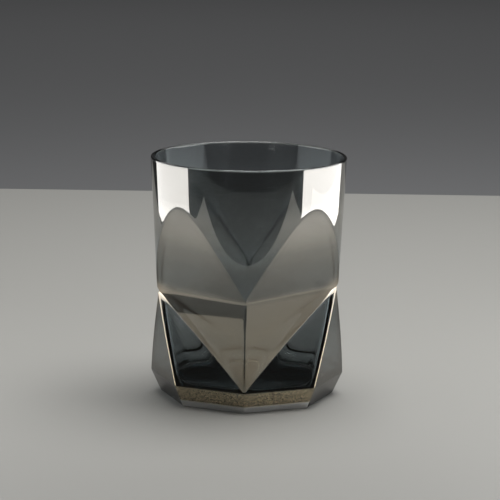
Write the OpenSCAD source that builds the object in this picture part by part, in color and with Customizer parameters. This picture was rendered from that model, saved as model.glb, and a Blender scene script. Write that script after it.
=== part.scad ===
// Faceted whiskey tumbler, blown from one piece of smoked glass.
// A round mouth tapers down to a pinched four-cornered waist, below which large
// triangles open out again to an eight-sided belly and a smaller eight-sided base.
// +Z is up, the base rests on z = 0 and the axis is the z axis. The corner that
// faces the drinker is at -Y, and azimuths are counted from there towards +X.

/* [Overall] */
// Height of the whole glass
height = 105.5; // [98:0.5:115]
// Outside diameter at the rim
rim_d = 85.3; // [80:0.1:90]
// Outside diameter that the round taper has at the height of the waist
taper_d = 79.4; // [76:0.1:82]

/* [Upper facets] */
// Height of the top of the four arched facets
arch_z = 87; // [80:0.5:92]

/* [Waist] */
// Height of the waist corners
waist_z = 48; // [44:0.5:52]
// Distance from the axis to a waist corner
waist_r = 38.9; // [38.5:0.1:39]
// How much lower the waist corner at -X sits than the other three
low_corner_drop = 3.7; // [0:0.1:4]

/* [Belly and base] */
// Height of the eight belly corners
belly_z = 9.6; // [8:0.1:12]
// Distance from the axis to a belly corner
belly_r = 42.3; // [40:0.1:42.6]
// Distance from the axis to a base corner
base_r = 37.8; // [36:0.1:39]

/* [Glass thickness] */
// Wall at the rim
rim_wall = 1.5; // [1.2:0.1:2]
// Wall at the waist
waist_wall = 1.8; // [1.5:0.1:2.6]
// Wall at the belly
belly_wall = 2.1; // [1.8:0.1:3.4]
// Height of the flat floor inside
floor_z = 7.5; // [6.5:0.1:9]
// Distance from the axis to a corner of the flat floor
floor_r = 32; // [29:0.5:34]
// How far the rounded foot of the wall rises above the floor
floor_rise = 4; // [3:0.5:6]

/* [Underside] */
// Diameter of the shallow hollow under the base
punt_d = 63; // [56:0.5:66]
// Depth of the hollow at its middle
punt_depth = 1.6; // [0.6:0.1:2.4]

/* [Hidden] */
// Polished edge at the rim
rim_edge = 0.5;
// Slope of the side of the hollow under the base, measured as its width
punt_side = 1.2;
// Corners of the upper, lower and belly outlines
waist_corners = 4;
belly_corners = 8;
// Index of the waist corner that sits lower
low_corner = 3;
// Height at which the round taper starts, just under the lowest waist corner
shoulder_z = waist_z - low_corner_drop - 1;
// Height to which the flat facets are drawn before the taper cuts them
facets_top = height + 5;
// Facets for round surfaces
round_fn = 192;
// Long enough to pass right through the glass
through = 4 * rim_d;

rim_r = rim_d / 2;
taper_slope = (rim_r - taper_d / 2) / (height - waist_z);

// Outside radius of the round taper at a height
function taper_r(z) = rim_r - taper_slope * (height - z);

// Point at an azimuth, a radius and a height
function at(azimuth, r, z) = [r * sin(azimuth), -r * cos(azimuth), z];

// A ring of corners at one height
function ring(count, r, z) = [for (k = [0 : count - 1]) at(360 / count * k, r, z)];

// The waist corners, with one of them lower
function waist(r) = [
    for (k = [0 : waist_corners - 1])
        at(360 / waist_corners * k, r, waist_z - (k == low_corner ? low_corner_drop : 0))
];

function unit(v) = v / norm(v);

// Outward direction of the flat facet above waist corners k and k + 1
function facet_normal(corners, k, arch_r) =
    let(
        a = corners[k % waist_corners],
        b = corners[(k + 1) % waist_corners],
        top = at(360 / waist_corners * (k + 0.5), arch_r, arch_z)
    )
    unit(cross(b - a, top - a));

// Where the edge shared by the two facets beside waist corner k reaches a height
function facet_edge(corners, k, arch_r, z) =
    let(
        before = facet_normal(corners, k + waist_corners - 1, arch_r),
        after = facet_normal(corners, k, arch_r),
        edge = cross(before, after)
    )
    corners[k] + edge * ((z - corners[k][2]) / edge[2]);

// The flat faces of the glass as one body. Above the waist, four facets lean out.
// Below it, the two side corners fan out to all the belly corners, and the front
// and back corners each drop one ridge to the belly.
module facets(corners, belly, foot, arch_r) {
    right = 1;
    back = 2;
    left = 3;
    half = belly_corners / 2;
    last = belly_corners - 1;
    top = [
        for (k = [0 : waist_corners - 1]) facet_edge(corners, k, arch_r, facets_top)
    ];
    function w(k) = k % waist_corners;
    function t(k) = waist_corners + k % waist_corners;
    function b(k) = 2 * waist_corners + k % belly_corners;
    function f(k) = 2 * waist_corners + belly_corners + k % belly_corners;
    polyhedron(
        points = concat(corners, top, belly, foot),
        faces = concat(
            [[for (k = [waist_corners - 1 : -1 : 0]) t(k)]],
            [for (k = [0 : waist_corners - 1]) [w(k), t(k), t(k + 1), w(k + 1)]],
            [for (k = [0 : half - 1]) [right, b(k + 1), b(k)]],
            [for (k = [half : last]) [left, b(k + 1), b(k)]],
            [[0, right, b(0)], [right, back, b(half)], [back, left, b(half)], [left, 0, b(0)]],
            [for (k = [0 : last]) [b(k), b(k + 1), f(k + 1), f(k)]],
            [[for (k = [0 : last]) f(k)]]
        )
    );
}

// Everything inside the round taper, which ends in a polished edge at the rim. Below
// the lowest waist corner it is wide enough to clear the whole glass. wall is how far
// inside the outer taper it runs.
module inside_taper(wall, edge, top) {
    rotate_extrude($fn = round_fn)
        polygon([
            [0, -1],
            [through, -1],
            [through, shoulder_z],
            [taper_r(shoulder_z) - wall, shoulder_z],
            [taper_r(height - rim_edge) - wall, height - rim_edge],
            [taper_r(height) - wall + edge, height],
            [taper_r(top) - wall + edge, top],
            [0, top]
        ]);
}

// The outside of the glass
module outside() {
    intersection() {
        facets(
            waist(waist_r),
            ring(belly_corners, belly_r, belly_z),
            ring(belly_corners, base_r, 0),
            taper_r(arch_z)
        );
        inside_taper(0, -rim_edge, height);
    }
}

// The space for the drink, which follows the outside at the thickness of the wall
module cavity() {
    intersection() {
        facets(
            waist(waist_r - sqrt(2) * waist_wall),
            ring(belly_corners, belly_r - belly_wall, floor_z + floor_rise),
            ring(belly_corners, floor_r, floor_z),
            taper_r(arch_z) - waist_wall
        );
        inside_taper(rim_wall, rim_edge, height + 1);
    }
}

// The shallow hollow under the base, so that the glass stands on a ring
module punt() {
    rotate_extrude($fn = round_fn)
        polygon([
            [0, -1],
            [punt_d / 2, -1],
            [punt_d / 2, 0],
            [punt_d / 2 - punt_side, punt_depth / 2],
            [0, punt_depth]
        ]);
}

module tumbler() {
    color([0.30, 0.31, 0.31, 0.55])
        difference() {
            outside();
            cavity();
            punt();
        }
}

tumbler();
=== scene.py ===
import math

import bpy
import mathutils
import numpy as np
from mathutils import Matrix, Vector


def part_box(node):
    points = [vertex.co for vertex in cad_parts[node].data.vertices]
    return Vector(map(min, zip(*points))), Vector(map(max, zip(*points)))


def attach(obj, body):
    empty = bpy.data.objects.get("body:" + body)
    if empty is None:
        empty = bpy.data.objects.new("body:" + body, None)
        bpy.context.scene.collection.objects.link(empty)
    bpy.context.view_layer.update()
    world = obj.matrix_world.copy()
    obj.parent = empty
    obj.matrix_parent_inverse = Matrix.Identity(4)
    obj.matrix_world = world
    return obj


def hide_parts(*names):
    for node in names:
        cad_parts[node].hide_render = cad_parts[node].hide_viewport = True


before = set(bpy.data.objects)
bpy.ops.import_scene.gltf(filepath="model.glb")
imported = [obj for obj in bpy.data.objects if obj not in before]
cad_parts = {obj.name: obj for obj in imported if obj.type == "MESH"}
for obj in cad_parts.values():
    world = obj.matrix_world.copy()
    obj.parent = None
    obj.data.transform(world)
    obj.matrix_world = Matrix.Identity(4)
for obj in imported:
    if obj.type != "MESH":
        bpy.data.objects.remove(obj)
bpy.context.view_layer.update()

MM = 0.001

# ---------------------------------------------------------------- sizes, in millimetres and degrees
# Azimuths go from -Y towards +X. The four waist corners are at 0, 90, 180 and 270, and the eight
# belly corners are a sector apart. 90 and 270 are the side corners.
SECTOR = 45
box_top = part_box("tumbler")[1]
HEIGHT = box_top[2] / MM
RIM_R = box_top[0] / MM
TAPER = 0.0507                # how much the round taper narrows for each mm down
ARCH_Z = 87.0                 # top of the arched facets
ARCH_BULGE = 1.3              # how far their middles swell out of the flat
WAIST_Z, WAIST_R = 48.0, 38.9
LOW_CORNER, LOW_CORNER_DROP = 3, 3.7    # the waist corner at -X sits lower
BELLY_Z, BELLY_R = 9.6, 42.25
BELLY_BULGE = 0.5             # swell of the faces below the waist
BASE_R = 37.8
FOOT_FILLET = 0.5
LIP = 1.5                     # wall at the rim, which is rounded over
FLOOR_Z = 7.5
FLOOR_START = 8.5             # height at which the wall starts to round into the floor
FLOOR_ROUND = 1.8             # how far in from there the floor is flat
PUNT_DEPTH = 1.6
# The side of the hollow under the base as two curves, each point as (radius, height)
PUNT_SIDE = ((31.9, 0.0), (31.5, 0.0), (31.0, 0.35), (30.4, 0.8), (29.3, 0.85))

# The corners of each skin, and how softly its faces run into each other
OUTER = {
    "taper": RIM_R, "waist": WAIST_R, "belly": BELLY_R, "belly_z": BELLY_Z, "foot": BASE_R, "foot_z": 0.0,
    "arch_edge": 0.30, "ridge": 0.35, "front_ridge": 1.2, "valley": 0.08, "side_corner": 1.1,
    "waist_edge": 0.45, "belly_edge": 0.35,
}
INNER = {
    "taper": RIM_R - LIP, "waist": WAIST_R - 2.5, "belly": BELLY_R - 2.1, "belly_z": FLOOR_Z + 3.0,
    "foot": BASE_R - 5.0, "foot_z": FLOOR_Z - 4.0,
    "arch_edge": 3.0, "ridge": 0.9, "front_ridge": 1.5, "valley": 2.5, "side_corner": 0.0,
    "waist_edge": 3.0, "belly_edge": 1.5,
}
SHARP = 1e-9                  # softness of an edge that isn't rounded
CORNER_REACH = 5.5            # how far the side corners' softness spreads
CORNER_SHARE = 0.3            # share of it that the waist edge takes
MM_PER_DEGREE = WAIST_R * math.pi / 180
FAR = 500.0                   # stands for a plane that faces away
LEAST_FACING = 0.05

# Rows of the mesh between the rim, arches, waist, valleys, ridges, belly and foot
OUTER_ROWS = (16, 28, 26, 22, 18, 14)
INNER_ROWS = (10, 20, 18, 16, 12, 3)
VALLEY_ROW = sum(OUTER_ROWS[:3])
ROW_CROWDING = 2.2            # how strongly the rows crowd towards the edges
SECTOR_COLUMNS = 34
COLUMN_CROWDING = 1.8
LEAST_GAP = 0.3               # between two edges' rows
LEAST_BAND = 1.0              # between the belly's row and the foot's
INNER_ROWS_END = FLOOR_START - 4.0
SETTLE = 8.0                  # over this height the inner rows draw together above the floor

# Heights between which each edge is looked for
ARCH_SEARCH = (WAIST_Z - 6, ARCH_Z + 3)
WAIST_SEARCH = (WAIST_Z - 8, WAIST_Z + 4)
VALLEY_SEARCH = (0.0, WAIST_Z + 2)
BELLY_SEARCH_ABOVE = 6.0      # the belly corners
RIDGE_MARGIN = 1.0
SEARCH_STEPS = 1500

# Past the belly corners there is no ridge. Its row slides over so many degrees to this share of
# the way from belly to valley.
SLIDE_DEGREES, SLIDE_SHARE = 20, 0.35

# Steps of the rounded corners, and places of the rings across the flats, from the outside in
LIP_STEPS, FOOT_STEPS, PUNT_STEPS, FLOOR_ROUND_STEPS = 12, 6, 4, 12
BASE_PLACES = (0.25, 0.6, 0.85)
PUNT_PLACES = (0.15, 0.35, 0.55, 0.72, 0.86, 0.95)
FLOOR_PLACES = (0.2, 0.45, 0.7, 0.9)


# ---------------------------------------------------------------- the two skins of the glass
def crowded(count, strength):
    """Fractions from 0 to 1, without the last, crowded at both ends."""
    t = np.arange(count) / count
    return 0.5 * (1 + np.tanh(strength * (2 * t - 1)) / math.tanh(strength))


AZIMUTHS = np.concatenate(
    [SECTOR * k + SECTOR * crowded(SECTOR_COLUMNS, COLUMN_CROWDING) for k in range(8)]
)


def point(azimuth, r, z):
    a = np.radians(azimuth)
    return np.array([r * np.sin(a), -r * np.cos(a), z])


def plane_through(a, b, c):
    """The plane's outward normal and its distance from the origin."""
    n = np.cross(b - a, c - a)
    n /= np.linalg.norm(n)
    if n[:2] @ (a + b + c)[:2] < 0:
        n = -n
    return n, float(n @ a)


def radius_on(plane, azimuth, z):
    """How far from the axis a plane lies at an azimuth and height."""
    n, d = plane
    a = np.radians(azimuth)
    facing = n[0] * np.sin(a) - n[1] * np.cos(a)
    return np.where(facing > LEAST_FACING, (d - n[2] * z) / np.maximum(facing, LEAST_FACING), FAR)


def soft_min(a, b, softness):
    """The smaller of two radii, rounded over where they are within the softness of each other."""
    near = np.maximum(softness - np.abs(a - b), 0) / softness
    return np.minimum(a, b) - near * near * softness / 4


def soft_max(a, b, softness):
    return -soft_min(-a, -b, softness)


def swell(z, bottom, top, amount):
    """0 at the bottom and top, and the full amount halfway."""
    s = (z - bottom) / (top - bottom)
    return 4 * amount * s * (1 - s)


def from_side(azimuth):
    """Degrees from the nearer side corner."""
    return np.abs(azimuth % 180 - 90)


def side_corner_z(azimuth):
    """Height of the side corner in the same half of the glass."""
    return np.where(azimuth > 180, WAIST_Z - LOW_CORNER_DROP, WAIST_Z)


def at_side_corner(azimuth, z, reach):
    """1 at the two side corners of the waist, fading to 0."""
    across = from_side(azimuth) * MM_PER_DEGREE
    up = z - side_corner_z(azimuth)
    return np.exp(-(across ** 2 + up ** 2) / reach ** 2)


class Wall:
    """One skin of the glass, as a radius for every azimuth and height."""

    def __init__(self, shape):
        self.shape = shape
        waist_z = [WAIST_Z - (LOW_CORNER_DROP if k == LOW_CORNER else 0) for k in range(4)]
        waist = [point(90 * k, shape["waist"], waist_z[k]) for k in range(4)]
        belly = [point(SECTOR * k, shape["belly"], shape["belly_z"]) for k in range(8)]
        foot = [point(SECTOR * k, shape["foot"], shape["foot_z"]) for k in range(8)]
        arch = [point(90 * k + 45, self.taper(ARCH_Z), ARCH_Z) for k in range(4)]
        front, right, back, left = waist
        self.arches = [plane_through(waist[k], waist[(k + 1) % 4], arch[k]) for k in range(4)]
        self.darts = [
            plane_through(front, right, belly[0]),
            plane_through(back, right, belly[4]),
            plane_through(back, left, belly[4]),
            plane_through(front, left, belly[0]),
        ]
        self.fans = [plane_through(right if k < 4 else left, belly[k], belly[(k + 1) % 8]) for k in range(8)]
        self.bands = [plane_through(belly[k], belly[(k + 1) % 8], foot[k]) for k in range(8)]

    def taper(self, z):
        """The round taper that the mouth belongs to."""
        return self.shape["taper"] - TAPER * (HEIGHT - z)

    def innermost(self, planes, azimuth, z, softness):
        r = radius_on(planes[0], azimuth, z)
        for plane in planes[1:]:
            r = soft_min(r, radius_on(plane, azimuth, z), softness)
        return r

    def arch_part(self, azimuth, z, softness):
        """The four arched facets above the waist."""
        return self.innermost(self.arches, azimuth, z, softness) + swell(z, WAIST_Z, ARCH_Z, ARCH_BULGE)

    def dart_part(self, azimuth, z, softness):
        """The faces beside the front and back ridges."""
        return self.innermost(self.darts, azimuth, z, softness)

    def fan_part(self, azimuth, z, softness):
        """The faces that fan out from the side corners to the belly."""
        right = self.innermost(self.fans[:4], azimuth, z, softness)
        left = self.innermost(self.fans[4:], azimuth, z, softness)
        on_right = np.sin(np.radians(azimuth)) >= 0
        return np.where(on_right, right, left) + swell(z, self.shape["belly_z"], WAIST_Z, BELLY_BULGE)

    def band_part(self, azimuth, z, softness):
        """The band of eight faces under the belly."""
        return self.innermost(self.bands, azimuth, z, softness)

    def sharp_upper(self, azimuth, z):
        """What lies above the waist, with sharp edges."""
        return np.minimum(self.taper(z), self.arch_part(azimuth, z, SHARP))

    def sharp_lower(self, azimuth, z):
        """What lies between waist and belly, with sharp edges."""
        return np.maximum(self.dart_part(azimuth, z, SHARP), self.fan_part(azimuth, z, SHARP))

    def radius(self, azimuth, z):
        """The finished skin, with its edges softened."""
        soft = self.shape
        corner = soft["side_corner"] * at_side_corner(azimuth, z, CORNER_REACH)
        arches = self.arch_part(azimuth, z, soft["ridge"])
        upper = soft_min(self.taper(z), arches, soft["arch_edge"])
        darts = self.dart_part(azimuth, z, soft["front_ridge"])
        fans = self.fan_part(azimuth, z, soft["ridge"])
        bowl = soft_max(darts, fans, soft["valley"] + corner)
        band = self.band_part(azimuth, z, soft["ridge"])
        lower = soft_min(bowl, band, soft["belly_edge"])
        return soft_max(upper, lower, soft["waist_edge"] + CORNER_SHARE * corner)


# ---------------------------------------------------------------- rows of the mesh
def crossing(gap, azimuth, bottom, top):
    """For each azimuth, the height at which gap(azimuth, z) turns from negative to positive."""
    z = np.linspace(bottom, top, SEARCH_STEPS)[:, None]
    negative = gap(azimuth[None, :], z) < 0
    last = SEARCH_STEPS - 1 - np.argmax(negative[::-1], axis=0)
    last = np.where(negative.any(axis=0), last, 0)
    return z[last, 0]


def ridge_heights(wall, azimuth):
    """Where the ridge from a side corner to its belly corner crosses each azimuth."""
    belly_z = wall.shape["belly_z"]
    rise = np.clip(1 - from_side(azimuth) / SECTOR, 0, 1)
    heights = belly_z + (side_corner_z(azimuth) - belly_z) * rise
    z = np.linspace(belly_z - RIDGE_MARGIN, WAIST_Z + RIDGE_MARGIN, SEARCH_STEPS)[:, None]
    for first in range(0, 8, 2):
        near = np.abs(azimuth - SECTOR * (first + 1)) < SECTOR
        one = radius_on(wall.fans[first], azimuth[None, near], z)
        other = radius_on(wall.fans[first + 1], azimuth[None, near], z)
        heights[near] = z[np.argmin(np.abs(one - other), axis=0), 0]
    return heights


def feature_rows(wall, foot_z, counts):
    """Heights of the rows of one skin, from the top of the taper down, following every edge."""
    a = AZIMUTHS

    def arch_gap(azimuth, z):
        return wall.arch_part(azimuth, z, SHARP) - wall.taper(z)

    def waist_gap(azimuth, z):
        return wall.arch_part(azimuth, z, SHARP) - wall.sharp_lower(azimuth, z)

    def valley_gap(azimuth, z):
        return wall.dart_part(azimuth, z, SHARP) - wall.fan_part(azimuth, z, SHARP)

    def belly_gap(azimuth, z):
        return wall.band_part(azimuth, z, SHARP) - wall.sharp_lower(azimuth, z)

    top = np.full_like(a, HEIGHT - LIP / 2)
    foot = np.full_like(a, foot_z)
    arch = crossing(arch_gap, a, *ARCH_SEARCH)
    waist = crossing(waist_gap, a, *WAIST_SEARCH)
    valley = crossing(valley_gap, a, *VALLEY_SEARCH)
    belly = crossing(belly_gap, a, foot_z, wall.shape["belly_z"] + BELLY_SEARCH_ABOVE)
    belly = np.maximum(belly, foot_z + LEAST_BAND)

    past = np.clip((from_side(a) - SECTOR) / SLIDE_DEGREES, 0, 1)
    slid = belly + SLIDE_SHARE * np.maximum(valley - belly, 0) * past
    ridge = np.where(from_side(a) > SECTOR, slid, ridge_heights(wall, a))

    arch = np.maximum(arch, waist + 2 * LEAST_GAP)
    valley = np.clip(valley, belly + 2 * LEAST_GAP, waist - LEAST_GAP)
    ridge = np.clip(ridge, belly + LEAST_GAP, valley - LEAST_GAP)
    edges = [top, arch, waist, valley, ridge, belly, foot]
    rows = []
    for upper, lower, count in zip(edges, edges[1:], counts):
        for t in crowded(count, ROW_CROWDING):
            rows.append(upper + (lower - upper) * t)
    rows.append(foot)
    return rows


def ring(r, z):
    """One row of points around the glass, in metres."""
    a = np.radians(AZIMUTHS)
    r = np.broadcast_to(r, a.shape)
    z = np.broadcast_to(z, a.shape)
    return np.stack([r * np.sin(a), -r * np.cos(a), z], axis=1) * MM


def curve_rings(start, corner, end, count):
    """Rings along a rounded corner, as a quadratic curve. Each point is (radius, height)."""
    rings = []
    for t in np.linspace(0, 1, count + 1)[1:]:
        r, z = (
            (1 - t) ** 2 * s + 2 * t * (1 - t) * c + t * t * e
            for s, c, e in zip(start, corner, end)
        )
        rings.append(ring(r, z))
    return rings


def outer_rings():
    """From the widest point of the lip down the outside, and under the base to its middle."""
    wall = Wall(OUTER)
    rings = [ring(wall.radius(AZIMUTHS, z), z) for z in feature_rows(wall, FOOT_FILLET, OUTER_ROWS)]
    r_foot = wall.radius(AZIMUTHS, FOOT_FILLET)
    r_base = 2 * r_foot - wall.radius(AZIMUTHS, 2 * FOOT_FILLET)
    flat = r_base - FOOT_FILLET
    rings += curve_rings((r_foot, FOOT_FILLET), (r_base, 0.0), (flat, 0.0), FOOT_STEPS)
    punt_r = PUNT_SIDE[0][0]
    for t in BASE_PLACES:
        rings.append(ring(flat + (punt_r - flat) * t, 0.0))
    rings += curve_rings(*PUNT_SIDE[0:3], PUNT_STEPS)
    rings += curve_rings(*PUNT_SIDE[2:5], PUNT_STEPS)
    dome_r, dome_z = PUNT_SIDE[-1]
    for t in PUNT_PLACES:
        rings.append(ring(dome_r * (1 - t), dome_z + (PUNT_DEPTH - dome_z) * (1 - (1 - t) ** 2)))
    return rings


def lip_rings():
    """Over the rounded lip, from the inside to the outside."""
    outside = RIM_R - TAPER * LIP / 2
    rings = []
    for angle in np.linspace(0, math.pi, LIP_STEPS + 1)[1:-1]:
        r = outside - LIP / 2 - LIP / 2 * math.cos(angle)
        rings.append(ring(r, HEIGHT - LIP / 2 + LIP / 2 * math.sin(angle)))
    return rings


def inner_rings():
    """From the lip down the inside to the middle of the floor."""
    wall = Wall(INNER)
    rows = feature_rows(wall, INNER_ROWS_END, INNER_ROWS)
    rings = []
    for z in rows:
        down = (rows[0] - z) / (rows[0] - rows[-1])
        lifted = rows[0] - down * (rows[0] - FLOOR_START)
        free = np.clip((z - FLOOR_START) / SETTLE, 0, 1)
        height = free * z + (1 - free) * lifted
        rings.append(ring(wall.radius(AZIMUTHS, height), height))
    start = wall.radius(AZIMUTHS, FLOOR_START)
    slope = start - wall.radius(AZIMUTHS, FLOOR_START + 1)
    corner = start + slope * (FLOOR_START - FLOOR_Z)
    flat = start - FLOOR_ROUND
    rings += curve_rings((start, FLOOR_START), (corner, FLOOR_Z), (flat, FLOOR_Z), FLOOR_ROUND_STEPS)
    for t in FLOOR_PLACES:
        rings.append(ring(flat * (1 - t), FLOOR_Z))
    return rings


# ---------------------------------------------------------------- where the film on the outside lies, and where its mirror is raised as a painted highlight
# The painted highlight at the side corners spreads this far
CORNER_HIGHLIGHT_REACH = 5.0
RIDGE_WIDTH = 0.45            # these three are gaps between two faces' radii
WAIST_WIDTH = 0.35
PRESSED_EDGE = 0.12
WAIST_HIGHLIGHT_SHARE = 0.35            # the waist's painted highlight against the ridges'
BAND_TOP = BELLY_Z + 1.0
ROUNDING = 1e-6


def ridge_highlight_share(azimuth, z):
    """Painted highlight: 1 along the belly ridges and at the side corners, and less along the waist, where
    the film's mirror is raised so that the lamps' highlights there come out brighter.
    """
    wall = Wall(OUTER)
    share = at_side_corner(azimuth, z, CORNER_HIGHLIGHT_REACH)
    for first in range(0, 8, 2):
        one = radius_on(wall.fans[first], azimuth, z)
        other = radius_on(wall.fans[first + 1], azimuth, z)
        near = (np.abs(azimuth - SECTOR * (first + 1)) < SECTOR) & (z > BELLY_Z) & (z < WAIST_Z)
        on_ridge = np.clip(1 - np.abs(one - other) / RIDGE_WIDTH, 0, 1)
        share = np.maximum(share, np.where(near, on_ridge, 0))
    gap = np.abs(wall.sharp_upper(azimuth, z) - wall.sharp_lower(azimuth, z))
    on_waist = np.clip(1 - gap / WAIST_WIDTH, 0, 1) * (z > WAIST_SEARCH[0])
    return np.maximum(share, WAIST_HIGHLIGHT_SHARE * on_waist)


def band_share(azimuth, z):
    """1 on the band's front and back faces, whose film mirrors more than on the band's sides and is
    speckled.
    """
    return ((z < BAND_TOP) & (from_side(azimuth) > SECTOR - ROUNDING)).astype(float)


def pressed_share(azimuth, z):
    """1 on the arched facets and beside the front and back ridges, 0 on the taper, fans and band."""
    wall = Wall(OUTER)
    arch_depth = wall.taper(z) - wall.arch_part(azimuth, z, SHARP)
    dart_depth = wall.dart_part(azimuth, z, SHARP) - wall.fan_part(azimuth, z, SHARP)
    above_waist = wall.sharp_upper(azimuth, z) > wall.sharp_lower(azimuth, z)
    depth = np.where(above_waist, arch_depth, dart_depth)
    return np.where(z > BELLY_Z, np.clip(depth / PRESSED_EDGE, 0, 1), 0)


# ---------------------------------------------------------------- the mesh
def add_values(mesh, name, values):
    """A number for each point of the mesh, which the material reads by this name."""
    layer = mesh.attributes.new(name, "FLOAT", "POINT")
    layer.data.foreach_set("value", values)


def sharpen_row(mesh, first_point):
    """Mark the edges along one ring as sharp."""
    ends = np.zeros(2 * len(mesh.edges), dtype=int)
    mesh.edges.foreach_get("vertices", ends)
    on_row = (ends >= first_point) & (ends < first_point + len(AZIMUTHS))
    sharp = mesh.attributes.new("sharp_edge", "BOOLEAN", "EDGE")
    sharp.data.foreach_set("value", on_row.reshape(-1, 2).all(axis=1))


def build_glass():
    """One closed skin, from the middle of the floor over the lip to the middle of the underside."""
    inside = inner_rings()[::-1] + lip_rings()
    rings = inside + outer_rings()
    floor_middle = [[0, 0, FLOOR_Z * MM]]
    under_middle = [[0, 0, PUNT_DEPTH * MM]]
    points = np.concatenate([floor_middle] + rings + [under_middle])
    columns = len(AZIMUTHS)
    last_ring = 1 + (len(rings) - 1) * columns
    faces = []
    for j in range(columns):
        k = (j + 1) % columns
        faces.append((0, 1 + j, 1 + k))
        faces.append((last_ring + k, last_ring + j, len(points) - 1))
        for row in range(1, last_ring, columns):
            faces.append((row + k, row + j, row + columns + j, row + columns + k))
    mesh = bpy.data.meshes.new("glass_tumbler")
    mesh.from_pydata(points.tolist(), [], faces)
    mesh.shade_smooth()
    outside_start = 1 + len(inside) * columns
    sharpen_row(mesh, outside_start + VALLEY_ROW * columns)
    outside = (np.arange(len(points)) >= outside_start).astype(float)
    x, y, z = points.T / MM
    azimuth = np.degrees(np.arctan2(x, -y)) % 360
    add_values(mesh, "outside", outside)
    # Painted highlight: where the film's mirror is raised along the ridges, at the side corners and along
    # the waist
    add_values(mesh, "ridge", outside * ridge_highlight_share(azimuth, z))
    add_values(mesh, "pressed", outside * pressed_share(azimuth, z))
    add_values(mesh, "band", outside * band_share(azimuth, z))
    glass = bpy.data.objects.new("glass_tumbler", mesh)
    bpy.context.scene.collection.objects.link(glass)
    return glass


# ---------------------------------------------------------------- materials
# The glass is smoky all through, and its outside carries a thin smoky, slightly metallic film.
# The inner skin has to share the outer one's material, so that the volume lies between them, and
# the mesh's values say where the film is.
BODY_COLOUR, BODY_DENSITY = (0.20, 0.36, 0.42), 150.0
GLASS_IOR = 1.52
GLASS_SPECULAR = 0.3

# The film, as (height in millimetres, value): the share of light that it mirrors, there and on the
# band besides, how rough and what colour its mirror is, and its smoke for the light that passes
FILM_MIRROR = (
    (10, 0.03), (45, 0.04), (52, 0.0), (60, 0.01), (68, 0.07), (76, 0.27), (83, 0.38), (90, 0.265),
)
BAND_MIRROR = ((0, 0.88), (3.0, 0.88), (3.3, 0.32), (9.3, 0.32), (9.8, 0.0))
FILM_ROUGHNESS = ((0, 0.3), (3.0, 0.3), (3.3, 0.22), (9.3, 0.2), (9.8, 0.03))
FILM_SHINE = (
    (0, (1.0, 1.0, 1.0)), (2.8, (1.0, 1.0, 1.0)), (3.3, (1.0, 0.84, 0.55)),
    (20, (1.0, 0.85, 0.62)), (50, (1.0, 0.89, 0.74)), (86, (1.0, 0.96, 0.90)),
)
FILM_SMOKE = (
    (12, (0.14, 0.152, 0.155)), (34, (0.226, 0.245, 0.25)),
    (78, (0.226, 0.245, 0.25)), (97, (0.10, 0.108, 0.11)),
)
NO_SMOKE = (1, 1, 1)
RIDGE_HIGHLIGHT_MIRROR = 0.35             # painted highlight: extra mirror along the ridges, at the side corners and along the waist
# Extra mirror on the pressed faces, by height. They are also smokier.
PRESSED_FILM = (
    (14, 0.09), (26, 0.18), (34, 0.24), (46, 0.23), (50, 0.05), (60, 0.09), (72, 0.14), (85, 0.21),
)
PRESSED_SMOKE = (0.17, 0.17, 0.16)
SEEN_FROM_INSIDE = 0.1        # share of the mirror left when met from inside the glass
SPECKLE_SCALE, SPECKLE_DETAIL = 1500.0, 2.0
SPECKLE_MIDDLE, SPECKLE_HALF = 6.2, 3.1    # the speckled band's heights
SPECKLE_BAND, SPECKLE_ELSEWHERE = 3.6, 0.15


def new_material(name):
    material = bpy.data.materials.new(name)
    material.use_nodes = True
    return material, material.node_tree.nodes, material.node_tree.links


def calculate(material, operation, *values):
    """A Math node fed by numbers or by outputs."""
    node = material.node_tree.nodes.new("ShaderNodeMath")
    node.operation = operation
    for socket, value in zip(node.inputs, values):
        if isinstance(value, (int, float)):
            socket.default_value = value
        else:
            material.node_tree.links.new(value, socket)
    return node.outputs[0]


def by_height(material, height, stops):
    """A Color Ramp over the glass's height, with (millimetres, number or colour) stops."""
    node = material.node_tree.nodes.new("ShaderNodeValToRGB")
    elements = node.color_ramp.elements
    while len(elements) < len(stops):
        elements.new(1.0)
    for element, (z, value) in zip(elements, stops):
        colour = value if isinstance(value, tuple) else (value, value, value)
        element.position = z / HEIGHT
        element.color = (*colour, 1)
    material.node_tree.links.new(height, node.inputs[0])
    return node.outputs[0]


def mix_colours(material, factor, first, second):
    """A Mix node between two colours, each a number triple or an output."""
    node = material.node_tree.nodes.new("ShaderNodeMix")
    node.data_type = "RGBA"
    node.clamp_factor = True
    factor_socket, first_socket, second_socket = (node.inputs[i] for i in (0, 6, 7))
    material.node_tree.links.new(factor, factor_socket)
    for socket, value in ((first_socket, first), (second_socket, second)):
        if isinstance(value, tuple):
            socket.default_value = (*value, 1)
        else:
            material.node_tree.links.new(value, socket)
    return node.outputs[2]


def mesh_values(material, name):
    """The mesh's numbers that add_values() stored under this name."""
    node = material.node_tree.nodes.new("ShaderNodeAttribute")
    node.attribute_name = name
    return node.outputs["Fac"]


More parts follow.
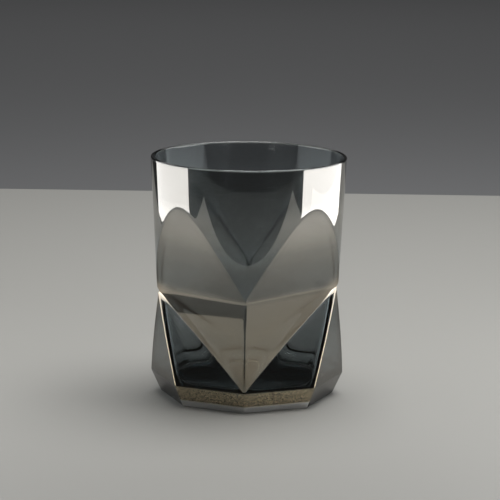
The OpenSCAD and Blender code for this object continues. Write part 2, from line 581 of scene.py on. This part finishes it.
def film_share(material, place, height, outside):
    """How much of the light the film mirrors, from 0 to 1."""
    nodes, links = material.node_tree.nodes, material.node_tree.links
    speckle = nodes.new("ShaderNodeTexNoise")
    speckle.inputs["Scale"].default_value = SPECKLE_SCALE
    speckle.inputs["Detail"].default_value = SPECKLE_DETAIL
    links.new(place, speckle.inputs["Vector"])
    grain = calculate(material, "SUBTRACT", speckle.outputs[0], 0.5)
    in_band = calculate(material, "COMPARE", height, SPECKLE_MIDDLE / HEIGHT, SPECKLE_HALF / HEIGHT)
    strength = calculate(material, "MULTIPLY_ADD", in_band, SPECKLE_BAND, SPECKLE_ELSEWHERE)
    grain = calculate(material, "MULTIPLY_ADD", grain, strength, 1.0)
    band = by_height(material, height, BAND_MIRROR)
    band = calculate(material, "MULTIPLY", band, mesh_values(material, "band"))
    share = calculate(material, "ADD", by_height(material, height, FILM_MIRROR), band)
    share = calculate(material, "MULTIPLY", share, grain)
    # Painted highlight: more mirror along the ridges, at the side corners and along the waist
    ridge = calculate(material, "MULTIPLY", mesh_values(material, "ridge"), RIDGE_HIGHLIGHT_MIRROR)
    share = calculate(material, "ADD", share, ridge)
    pressed = by_height(material, height, PRESSED_FILM)
    pressed = calculate(material, "MULTIPLY", pressed, mesh_values(material, "pressed"))
    share = calculate(material, "ADD", share, pressed)
    geometry = nodes.new("ShaderNodeNewGeometry")
    side = calculate(material, "MULTIPLY_ADD", geometry.outputs["Backfacing"], SEEN_FROM_INSIDE - 1, 1.0)
    share = calculate(material, "MULTIPLY", share, side)
    return calculate(material, "MULTIPLY", share, outside)


def smoked_glass():
    """Clear glass with a smoky body, under a film that is mixed in where it mirrors."""
    material, nodes, links = new_material("smoked_glass")
    outside = mesh_values(material, "outside")
    coordinates = nodes.new("ShaderNodeTexCoord")
    place = coordinates.outputs["Object"]
    parts = nodes.new("ShaderNodeSeparateXYZ")
    links.new(place, parts.inputs[0])
    height = calculate(material, "DIVIDE", parts.outputs["Z"], HEIGHT * MM)

    clear = nodes["Principled BSDF"]
    clear.inputs["Transmission Weight"].default_value = 1.0
    clear.inputs["Roughness"].default_value = 0.0
    clear.inputs["IOR"].default_value = GLASS_IOR
    clear.inputs["Specular IOR Level"].default_value = GLASS_SPECULAR
    smoke = mix_colours(material, outside, NO_SMOKE, by_height(material, height, FILM_SMOKE))
    smoke = mix_colours(material, mesh_values(material, "pressed"), smoke, PRESSED_SMOKE)
    links.new(smoke, clear.inputs["Base Color"])

    mirror = nodes.new("ShaderNodeBsdfPrincipled")
    mirror.inputs["Metallic"].default_value = 1.0
    links.new(by_height(material, height, FILM_ROUGHNESS), mirror.inputs["Roughness"])
    links.new(by_height(material, height, FILM_SHINE), mirror.inputs["Base Color"])

    surface = nodes.new("ShaderNodeMixShader")
    links.new(film_share(material, place, height, outside), surface.inputs[0])
    links.new(clear.outputs[0], surface.inputs[1])
    links.new(mirror.outputs[0], surface.inputs[2])
    body = nodes.new("ShaderNodeVolumeAbsorption")
    body.inputs["Color"].default_value = (*BODY_COLOUR, 1)
    body.inputs["Density"].default_value = BODY_DENSITY
    links.new(surface.outputs[0], nodes["Material Output"].inputs["Surface"])
    links.new(body.outputs[0], nodes["Material Output"].inputs["Volume"])
    return material


def plain(name, colour, roughness):
    """An even finish for the stage."""
    material, nodes, _ = new_material(name)
    shader = nodes["Principled BSDF"]
    shader.inputs["Base Color"].default_value = (*colour, 1)
    shader.inputs["Roughness"].default_value = roughness
    return material


# ---------------------------------------------------------------- stage, lights and camera, in metres
def slab(name, x, y, z, material):
    """A flat piece of the stage, over a range of x and a range of y."""
    corners = [(x[0], y[0], z), (x[1], y[0], z), (x[1], y[1], z), (x[0], y[1], z)]
    mesh = bpy.data.meshes.new(name)
    mesh.from_pydata(corners, [], [(0, 1, 2, 3)])
    mesh.materials.append(material)
    obj = bpy.data.objects.new(name, mesh)
    bpy.context.scene.collection.objects.link(obj)


def panel(name, centre, aim, width, height, power):
    """A rectangular area light, aimed at a point."""
    light = bpy.data.lights.new(name, "AREA")
    light.shape = "RECTANGLE"
    light.size = width
    light.size_y = height
    light.energy = power
    obj = bpy.data.objects.new(name, light)
    bpy.context.scene.collection.objects.link(obj)
    obj.location = centre
    way = mathutils.Vector(aim) - mathutils.Vector(centre)
    obj.rotation_euler = way.to_track_quat("-Z", "Y").to_euler()
    obj.visible_camera = False
    return obj


def light_card(name, x, y, z, brightness):
    """An upright card of light that faces the glass from one side, over a range of y and of z."""
    (near, far), (bottom, top) = y, z
    middle_y, middle_z = (near + far) / 2, (bottom + top) / 2
    area = (far - near) * (top - bottom)
    centre, aim = (x, middle_y, middle_z), (0, middle_y, middle_z)
    return panel(name, centre, aim, far - near, top - bottom, brightness * math.pi * area)


TABLE_BACK = 0.526
UNDER_TABLE = -0.01
table = plain("pale_floor", (0.40, 0.395, 0.37), 0.6)
wall_finish = plain("dark_backdrop", (0.16, 0.162, 0.166), 0.7)
slab("floor", (-0.30, 0.32), (-0.25, TABLE_BACK), 0.0, table)
slab("floor_side", (0.32, 0.42), (-0.08, TABLE_BACK), 0.0, table)
slab("backdrop", (-2.5, 2.5), (TABLE_BACK, 3.0), -0.002, wall_finish)
slab("surround", (-2.5, 2.5), (-1.5, TABLE_BACK), UNDER_TABLE, plain("dark_floor", (0.03, 0.03, 0.03), 0.7))

# The two tall cards are what the glass mirrors, and the two low ones light the table beside it.
left_card = light_card("left_card", -0.20, (-0.083, 0.160), (0.032, 0.25), brightness=2.35)
right_card = light_card("right_card", 0.20, (-0.103, 0.185), (0.029, 0.25), brightness=2.9)
for card in (left_card, right_card):
    card.visible_diffuse = False
low_left = light_card("low_left", -0.50, (-0.22, 0.28), (0.008, 0.092), brightness=5.0)
low_right = light_card("low_right", 0.70, (-0.32, 0.38), (0.012, 0.129), brightness=8.6)
for card in (low_left, low_right):
    card.visible_glossy = False
    card.visible_transmission = False
panel("overhead", (0.13, 0.11, 0.8), (0.03, 0.11, 0.0), width=0.6, height=0.6, power=6.4)
panel("back_light", (0.0, 1.7, 1.2), (0.0, 1.7, 0.0), width=2.0, height=1.2, power=6.5)

world = bpy.data.worlds.new("studio")
world.use_nodes = True
background = world.node_tree.nodes["Background"]
background.inputs["Color"].default_value = (1, 1, 1, 1)
background.inputs["Strength"].default_value = 0.05
bpy.context.scene.world = world

CAMERA_X, CAMERA_DISTANCE, CAMERA_HEIGHT = 0.0009, 1.0, 0.259
CAMERA_TURN = math.radians(1.3)         # around the glass
PITCH_DOWN = math.radians(11.05)
ROLL = math.radians(0.6)
SENSOR = 36.0
FOCAL_PER_WIDTH = 4.664                 # focal length against the sensor's width


def add_camera():
    data = bpy.data.cameras.new("camera")
    data.sensor_width = SENSOR
    data.lens = FOCAL_PER_WIDTH * SENSOR
    data.clip_start = 0.01
    camera = bpy.data.objects.new("camera", data)
    bpy.context.scene.collection.objects.link(camera)
    camera.matrix_world = (
        mathutils.Matrix.Rotation(CAMERA_TURN, 4, "Z")
        @ mathutils.Matrix.Translation((CAMERA_X, -CAMERA_DISTANCE, CAMERA_HEIGHT))
        @ mathutils.Matrix.Rotation(math.pi / 2 - PITCH_DOWN, 4, "X")
        @ mathutils.Matrix.Rotation(ROLL, 4, "Z")
    )
    bpy.context.scene.camera = camera


add_camera()
bpy.context.scene.view_settings.view_transform = "Standard"

# ---------------------------------------------------------------- the glass in its frame
glass = build_glass()
glass.data.materials.append(smoked_glass())
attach(glass, "root")
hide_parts("tumbler")

bpy.context.view_layer.update()
